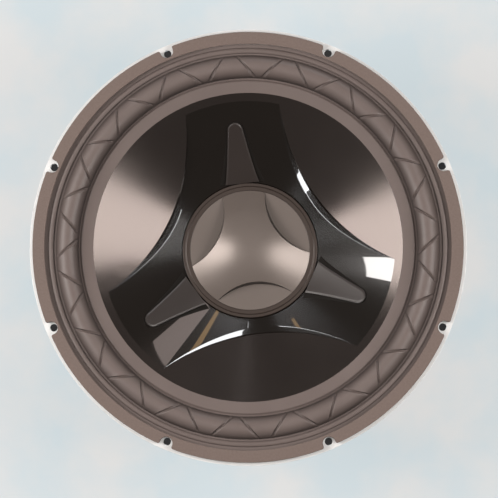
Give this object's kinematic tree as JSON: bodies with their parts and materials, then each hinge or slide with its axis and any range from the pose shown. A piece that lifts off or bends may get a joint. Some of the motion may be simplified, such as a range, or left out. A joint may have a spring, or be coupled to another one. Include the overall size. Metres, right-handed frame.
{
  "type": "car subwoofer speaker",
  "caption": "Round car subwoofer drive unit: spoked basket, rubber surround, satin cone with a gloss three-armed inlay, domed cap, ferrite motor and push terminals.",
  "frame": {"origin": "centre of the magnet boot's bottom face, on the speaker's axis, where the unit stands when it lies on its magnet", "axes": "+Z along the speaker's axis, from the magnet to the front; +Y towards the spoke that carries the terminal block; +X to the right seen from the front"},
  "size_m": [0.312, 0.312, 0.1509],
  "materials": {
    "silver_paint": "satin silver paint on cast aluminium",
    "gasket_foam": "matt brown-grey moulded rubber",
    "surround_rubber": "matt brown-grey nitrile rubber",
    "satin_cone": "satin dark grey, faint metallic sheen",
    "gloss_black": "high gloss black",
    "satin_finger": "satin charcoal",
    "ring_satin": "satin brown-grey",
    "cap_satin": "satin grey, faint metallic sheen",
    "former_film": "anodised former",
    "copper": "enamelled copper wire",
    "adhesive": "cured black adhesive",
    "spider_cloth": "resin-dipped woven cloth",
    "tinned_braid": "tinned copper braid over textile",
    "zinc_steel": "zinc plated",
    "dark_steel": "black oxide",
    "ferrite": "ground ferrite",
    "boot_rubber": "matt black rubber",
    "black_moulding": "matt black moulding",
    "brass_plate": "bright brass",
    "red_button": "red moulding",
    "black_button": "black moulding",
    "spring_steel": "bright spring wire"
  },
  "bodies": {
    "frame": {"basket": "silver_paint", "front_gasket": "gasket_foam", "surround": "surround_rubber", "spider": "spider_cloth", "tinsel_lead_positive": "tinned_braid", "tinsel_lead_negative": "tinned_braid", "top_plate": "zinc_steel", "magnet_front": "ferrite", "magnet_rear": "ferrite", "t_yoke": "zinc_steel", "shorting_ring": "copper", "magnet_boot": "boot_rubber", "vent_screen": "dark_steel", "plate_screws": "dark_steel", "terminal_block": "black_moulding", "terminal_screws": "zinc_steel", "terminal_contacts": "brass_plate", "terminal_spring_positive": "spring_steel", "terminal_spring_negative": "spring_steel"},
    "cone_assembly": {"cone": "satin_cone", "tri_arm_inlay": "gloss_black", "arm_fingers": "satin_finger", "dust_cap_ring": "ring_satin", "dust_cap": "cap_satin", "voice_coil_former": "former_film", "voice_coil_winding": "copper", "neck_glue_bead": "adhesive", "lead_eyelets": "brass_plate"},
    "positive_button": {"terminal_button_positive": "red_button"},
    "negative_button": {"terminal_button_negative": "black_button"}
  },
  "joints": [
    {"name": "cone_travel", "type": "slide", "parent": "frame", "child": "cone_assembly", "axis": [0, 0, 1], "range_m": [-0.012, 0.012], "stiffness_N_per_m": 7000, "deforming": ["surround", "spider", "tinsel_lead_positive", "tinsel_lead_negative"]},
    {"name": "positive_push", "type": "slide", "parent": "frame", "child": "positive_button", "axis": [0, -1, 0], "range_m": [0, 0.0025], "stiffness_N_per_m": 800, "springref_m": -0.002, "deforming": ["terminal_spring_positive"]},
    {"name": "negative_push", "type": "slide", "parent": "frame", "child": "negative_button", "axis": [0, -1, 0], "range_m": [0, 0.0025], "stiffness_N_per_m": 800, "springref_m": -0.002, "deforming": ["terminal_spring_negative"]}
  ]
}
